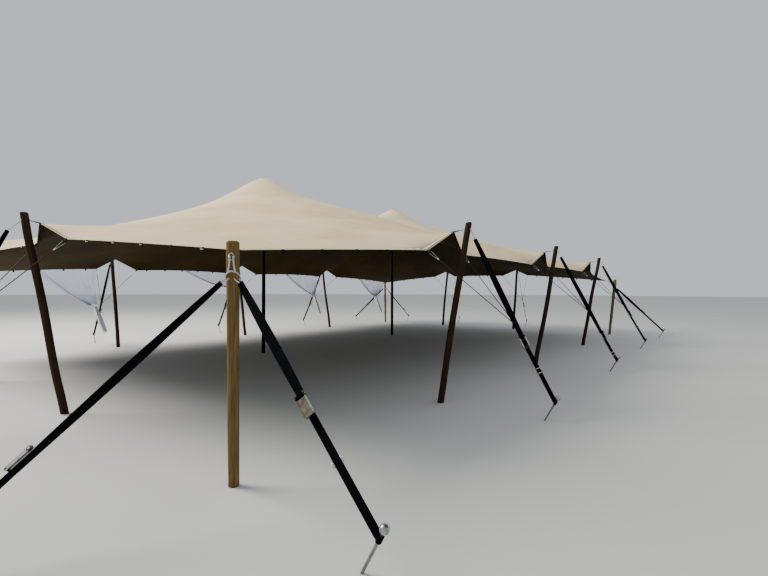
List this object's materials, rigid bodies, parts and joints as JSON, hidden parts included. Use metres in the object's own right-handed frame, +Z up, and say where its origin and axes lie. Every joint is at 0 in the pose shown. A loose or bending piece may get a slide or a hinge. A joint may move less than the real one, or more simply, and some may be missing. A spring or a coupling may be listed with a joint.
{
  "type": "stretch tent",
  "caption": "Stretch tent: a sand-coloured elastic canopy on inner poles, held out by leaning edge poles and tied down with ratchet straps to stakes; clear side curtains gathered at the back.",
  "frame": {"origin": "centre of the bounding box at ground level", "axes": "+X along the tent's long side, +Y across it towards the side with the curtains, +Z up"},
  "size_m": [18.619, 13.0718, 4.223],
  "materials": {
    "sand_fabric": "matte coated knit",
    "pale_timber": "peeled and weathered",
    "dark_timber": "stained",
    "black_timber": "dark stained",
    "webbing": "woven polyester",
    "steel": "worn",
    "zinc": "zinc plated",
    "clear_film": "clear soft film"
  },
  "bodies": {
    "root": {"canopy": "sand_fabric", "inner_pole_1": "black_timber", "inner_pole_2": "black_timber", "pole_front_1": "dark_timber", "pole_back_1": "dark_timber", "pole_front_2": "dark_timber", "pole_back_2": "dark_timber", "pole_front_3": "dark_timber", "pole_back_3": "dark_timber", "pole_left_1": "dark_timber", "pole_right_1": "dark_timber", "pole_left_2": "dark_timber", "pole_right_2": "dark_timber", "pole_front_left": "pale_timber", "pole_front_right": "pale_timber", "pole_back_left": "pale_timber", "pole_back_right": "pale_timber", "strap_front_1": "webbing", "strap_back_1": "webbing", "strap_front_2": "webbing", "strap_back_2": "webbing", "strap_front_3": "webbing", "strap_back_3": "webbing", "strap_left_1": "webbing", "strap_right_1": "webbing", "strap_left_2": "webbing", "strap_right_2": "webbing", "strap_front_left": "webbing", "strap_front_right": "webbing", "strap_back_left": "webbing", "strap_back_right": "webbing", "stake_front_1": "steel", "stake_back_1": "steel", "stake_front_2": "steel", "stake_back_2": "steel", "stake_front_3": "steel", "stake_back_3": "steel", "stake_left_1": "steel", "stake_right_1": "steel", "stake_left_2": "steel", "stake_right_2": "steel", "stake_front_left_side": "steel", "stake_front_left_end": "steel", "stake_front_right_side": "steel", "stake_front_right_end": "steel", "stake_back_left_side": "steel", "stake_back_left_end": "steel", "stake_back_right_side": "steel", "stake_back_right_end": "steel", "curtain_1": "clear_film", "curtain_2": "clear_film", "curtain_3": "clear_film", "curtain_4": "clear_film"},
    "lever_side": {"ratchet_lever_side": "zinc"},
    "lever_end": {"ratchet_lever_end": "zinc"}
  },
  "joints": [
    {"name": "ratchet_lever_side_turn", "type": "hinge", "parent": "root", "child": "lever_side", "pos_m": [-7.80687, -5.79359, 0.86921], "axis": [-0.4204, 0.643, -0.6402], "range_deg": [0, 160]},
    {"name": "ratchet_lever_end_turn", "type": "hinge", "parent": "root", "child": "lever_end", "pos_m": [-8.87268, -4.65353, 0.58856], "axis": [0.6656, 0.3784, -0.6433], "range_deg": [0, 160]}
  ]
}
